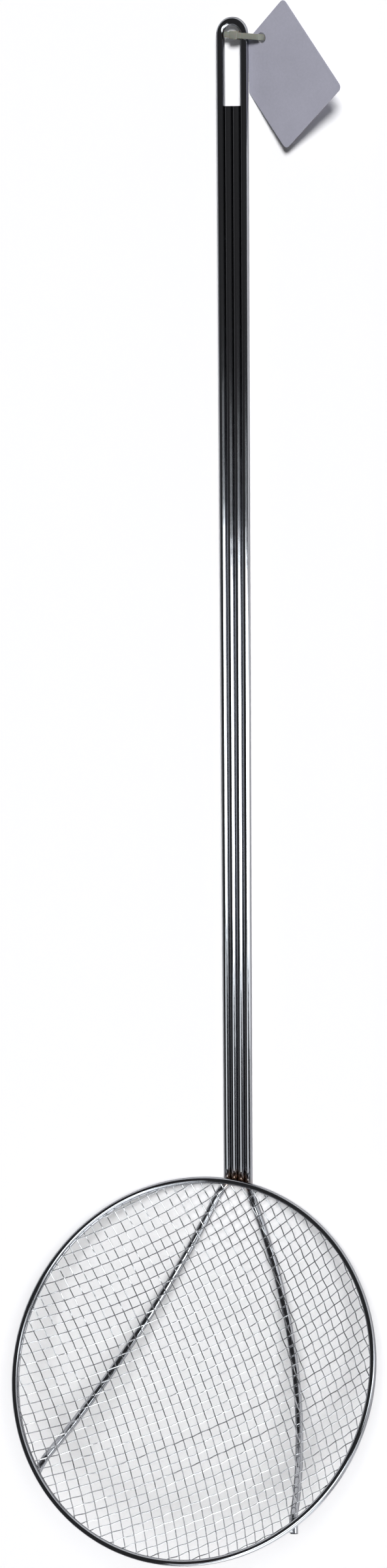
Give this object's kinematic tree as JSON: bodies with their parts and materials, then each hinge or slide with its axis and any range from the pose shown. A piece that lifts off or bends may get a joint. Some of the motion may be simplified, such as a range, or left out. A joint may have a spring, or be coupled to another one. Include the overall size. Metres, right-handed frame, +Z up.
{
  "type": "wire mesh skimmer",
  "caption": "Round wire skimmer: a shallow woven-mesh bowl clamped between rim rings, on a long handle of side-by-side wires with a hanging loop, braces under the bowl and a tied card tag.",
  "frame": {"origin": "under the middle of the whole part's box, at the height of the surface it lies on", "axes": "+Y along the handle from the bowl to the hanging loop, +Z up out of the bowl's open side as it lies, +X to the tag's side"},
  "size_m": [0.2032, 0.771, 0.1357],
  "materials": {
    "plated_wire": "bright nickel plating",
    "mesh_wire": "bright drawn wire",
    "tie_nylon": "translucent natural nylon",
    "tag_card": "smooth printed card"
  },
  "bodies": {
    "skimmer": {"rim_ring_upper": "plated_wire", "rim_ring_lower": "plated_wire", "handle_loop_wire": "plated_wire", "handle_inner_wire_left": "plated_wire", "handle_inner_wire_right": "plated_wire", "brace_left": "plated_wire", "brace_right": "plated_wire", "mesh_warp_minus_9": "mesh_wire", "mesh_warp_minus_8": "mesh_wire", "mesh_warp_minus_7": "mesh_wire", "mesh_warp_minus_6": "mesh_wire", "mesh_warp_minus_5": "mesh_wire", "mesh_warp_minus_4": "mesh_wire", "mesh_warp_minus_3": "mesh_wire", "mesh_warp_minus_2": "mesh_wire", "mesh_warp_minus_1": "mesh_wire", "mesh_warp_middle": "mesh_wire", "mesh_warp_plus_1": "mesh_wire", "mesh_warp_plus_2": "mesh_wire", "mesh_warp_plus_3": "mesh_wire", "mesh_warp_plus_4": "mesh_wire", "mesh_warp_plus_5": "mesh_wire", "mesh_warp_plus_6": "mesh_wire", "mesh_warp_plus_7": "mesh_wire", "mesh_warp_plus_8": "mesh_wire", "mesh_warp_plus_9": "mesh_wire", "mesh_weft_minus_9": "mesh_wire", "mesh_weft_minus_8": "mesh_wire", "mesh_weft_minus_7": "mesh_wire", "mesh_weft_minus_6": "mesh_wire", "mesh_weft_minus_5": "mesh_wire", "mesh_weft_minus_4": "mesh_wire", "mesh_weft_minus_3": "mesh_wire", "mesh_weft_minus_2": "mesh_wire", "mesh_weft_minus_1": "mesh_wire", "mesh_weft_middle": "mesh_wire", "mesh_weft_plus_1": "mesh_wire", "mesh_weft_plus_2": "mesh_wire", "mesh_weft_plus_3": "mesh_wire", "mesh_weft_plus_4": "mesh_wire", "mesh_weft_plus_5": "mesh_wire", "mesh_weft_plus_6": "mesh_wire", "mesh_weft_plus_7": "mesh_wire", "mesh_weft_plus_8": "mesh_wire", "mesh_weft_plus_9": "mesh_wire"},
    "tie": {"tag_tie": "tie_nylon"},
    "tag": {"hang_tag": "tag_card"}
  },
  "joints": [
    {"name": "tie_swing", "type": "hinge", "parent": "skimmer", "child": "tie", "pos_m": [0.00615, 0.36892, 0.0032], "axis": [0, -1, 0], "range_deg": [0, 140]},
    {"name": "tag_spin", "type": "hinge", "parent": "tie", "child": "tag", "pos_m": [0.01555, 0.36892, 0.0039], "axis": [-0.2966, -0.0533, 0.9535], "range_deg": [0, 60]}
  ]
}
